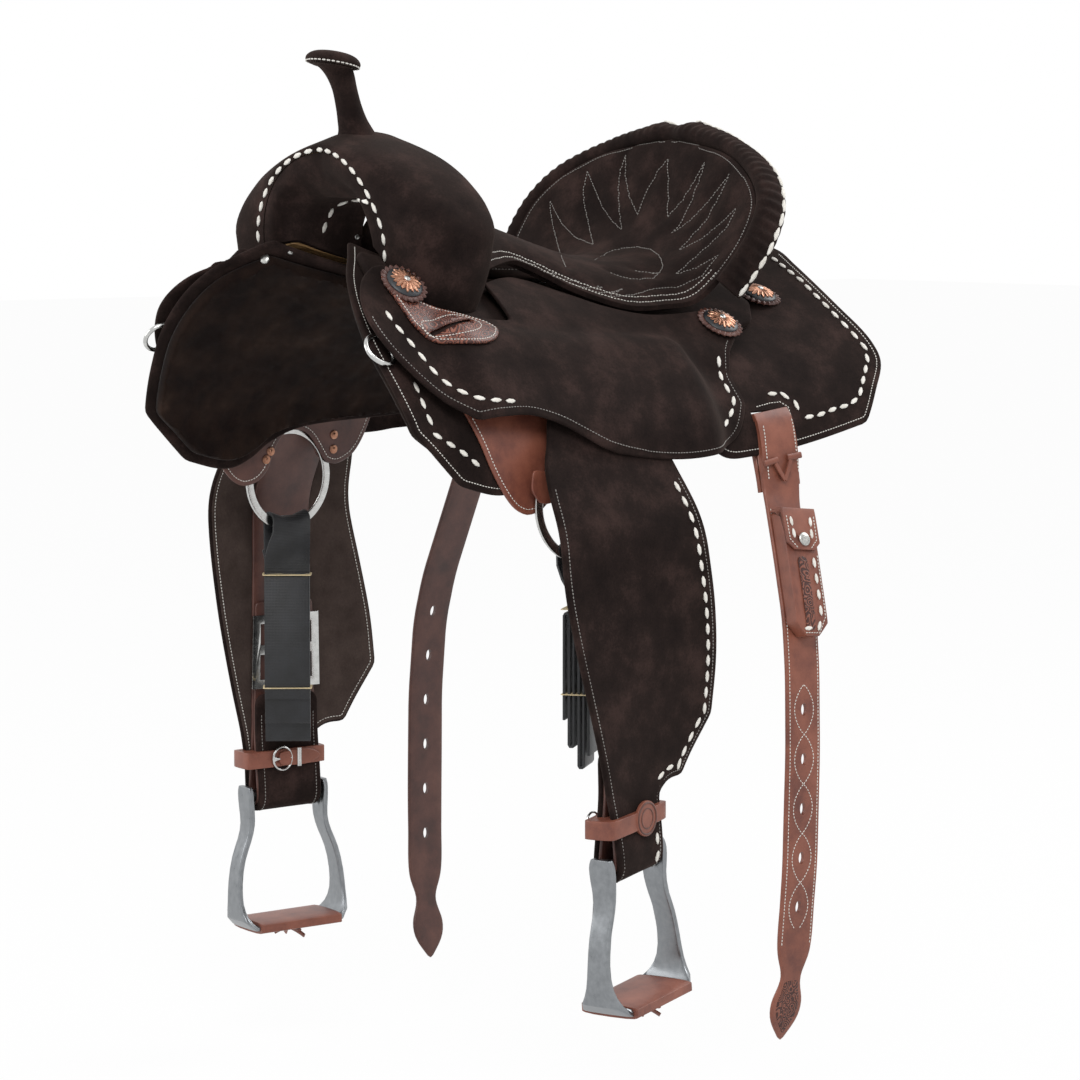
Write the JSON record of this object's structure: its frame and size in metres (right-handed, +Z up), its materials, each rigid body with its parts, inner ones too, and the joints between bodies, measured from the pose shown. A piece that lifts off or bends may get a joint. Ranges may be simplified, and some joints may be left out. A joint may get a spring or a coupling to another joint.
{
  "type": "barrel racing saddle",
  "caption": "Western barrel racing saddle with a deep padded seat, thin horn, flat-plate ring rigging, hanging fenders and stirrups, folded cinch straps, rear billets and a pouch.",
  "frame": {"origin": "middle of the gullet channel's roof, just under the ground seat, where the horse's back or a rack holds the saddle", "axes": "+Z up, +Y towards the tail so that the saddle faces -Y, +X towards the near (left) side"},
  "size_m": [0.6184, 0.6375, 0.9579],
  "materials": {
    "rough_out_leather": "very dark brown suede, flesh side out",
    "skirting_leather": "smooth oiled brown, satin",
    "fleece": "dark wool fleece",
    "tree_wood": "plain",
    "stainless_steel": "polished stainless",
    "cast_aluminium": "satin cast",
    "nylon_webbing": "woven black nylon",
    "rubber_band": "matt",
    "copper_concho": "copper flower with a silver centre on leather"
  },
  "bodies": {
    "saddle": {"skirt_near": "rough_out_leather", "skirt_fleece_near": "fleece", "tree_bar_near": "tree_wood", "skirt_far": "rough_out_leather", "skirt_fleece_far": "fleece", "tree_bar_far": "tree_wood", "rigging_plate_near": "skirting_leather", "rigging_ring_near": "stainless_steel", "rigging_plate_far": "skirting_leather", "rigging_ring_far": "stainless_steel", "billet_loop_near": "skirting_leather", "billet_loop_far": "skirting_leather", "tree_fork": "tree_wood", "swell_cover": "rough_out_leather", "gullet_cover": "rough_out_leather", "horn_core": "stainless_steel", "horn_cap": "rough_out_leather", "horn_wrap": "rough_out_leather", "padded_seat": "rough_out_leather", "ground_seat": "skirting_leather", "tree_cantle": "tree_wood", "cantle_back": "rough_out_leather", "cantle_binding": "rough_out_leather", "seat_jockey_near": "rough_out_leather", "string_keeper_near": "skirting_leather", "seat_jockey_far": "rough_out_leather", "string_keeper_far": "skirting_leather", "concho_front_near": "copper_concho", "concho_front_far": "copper_concho", "concho_seat_near": "copper_concho", "concho_seat_far": "copper_concho", "concho_skirt_near": "copper_concho", "concho_skirt_far": "copper_concho"},
    "fender_near_body": {"fender_near": "rough_out_leather", "stirrup_leather_near": "skirting_leather", "leather_buckle_near": "stainless_steel", "hobble_strap_near": "skirting_leather", "hobble_buckle_near": "stainless_steel"},
    "stirrup_near_body": {"stirrup_near": "cast_aluminium", "tread_cover_near": "skirting_leather"},
    "hank_near_body": {"latigo_near": "nylon_webbing", "latigo_band_upper_near": "rubber_band", "latigo_band_lower_near": "rubber_band"},
    "breast_dee_near_body": {"breast_dee_near": "stainless_steel"},
    "rear_billet_near_body": {"rear_billet_near": "skirting_leather", "pouch_body": "skirting_leather"},
    "pouch_flap_body": {"pouch_flap": "skirting_leather"},
    "fender_far_body": {"fender_far": "rough_out_leather", "stirrup_leather_far": "skirting_leather", "leather_buckle_far": "stainless_steel", "hobble_strap_far": "skirting_leather", "hobble_buckle_far": "stainless_steel"},
    "stirrup_far_body": {"stirrup_far": "cast_aluminium", "tread_cover_far": "skirting_leather"},
    "hank_far_body": {"off_billet_far": "nylon_webbing", "latigo_band_upper_far": "rubber_band", "latigo_band_lower_far": "rubber_band"},
    "breast_dee_far_body": {"breast_dee_far": "stainless_steel"},
    "rear_billet_far_body": {"rear_billet_far": "skirting_leather"}
  },
  "joints": [
    {"name": "fender_swing_near", "type": "hinge", "parent": "saddle", "child": "fender_near_body", "pos_m": [0.203, -0.1145, -0.0955], "axis": [0.887, 0, 0.4617], "range_deg": [-20, 9]},
    {"name": "stirrup_swing_near", "type": "hinge", "parent": "fender_near_body", "child": "stirrup_near_body", "pos_m": [0.27155, -0.12, -0.53414], "axis": [-0.257, 0.9592, 0.1178], "range_deg": [-45, 45]},
    {"name": "hank_swing_near", "type": "hinge", "parent": "saddle", "child": "hank_near_body", "pos_m": [0.23081, -0.1435, -0.2497], "axis": [0, 1, 0], "range_deg": [-2, 20]},
    {"name": "breast_dee_turn_near", "type": "hinge", "parent": "saddle", "child": "breast_dee_near_body", "pos_m": [0.17512, -0.325, -0.0541], "axis": [-0.6092, 0, 0.793], "range_deg": [0, 12]},
    {"name": "rear_billet_lift_near", "type": "hinge", "parent": "saddle", "child": "rear_billet_near_body", "pos_m": [0.23948, 0.106, -0.2038], "axis": [-0.0328, -0.9952, 0.0921], "range_deg": [0, 45]},
    {"name": "pouch_flap_open", "type": "hinge", "parent": "rear_billet_near_body", "child": "pouch_flap_body", "pos_m": [0.24752, 0.10414, -0.221], "axis": [-0.0328, -0.9952, 0.0921], "range_deg": [0, 90]},
    {"name": "fender_swing_far", "type": "hinge", "parent": "saddle", "child": "fender_far_body", "pos_m": [-0.203, -0.1145, -0.0955], "axis": [0.887, 0, -0.4617], "range_deg": [-20, 9]},
    {"name": "stirrup_swing_far", "type": "hinge", "parent": "fender_far_body", "child": "stirrup_far_body", "pos_m": [-0.27155, -0.12, -0.53414], "axis": [-0.1391, -0.9897, -0.0346], "range_deg": [-45, 45]},
    {"name": "hank_swing_far", "type": "hinge", "parent": "saddle", "child": "hank_far_body", "pos_m": [-0.23081, -0.1435, -0.2497], "axis": [0, -1, 0], "range_deg": [-2, 20]},
    {"name": "breast_dee_turn_far", "type": "hinge", "parent": "saddle", "child": "breast_dee_far_body", "pos_m": [-0.17512, -0.325, -0.0541], "axis": [-0.6092, 0, -0.793], "range_deg": [0, 12]},
    {"name": "rear_billet_lift_far", "type": "hinge", "parent": "saddle", "child": "rear_billet_far_body", "pos_m": [-0.23948, 0.106, -0.2038], "axis": [-0.0328, 0.9952, -0.0921], "range_deg": [0, 45]}
  ]
}
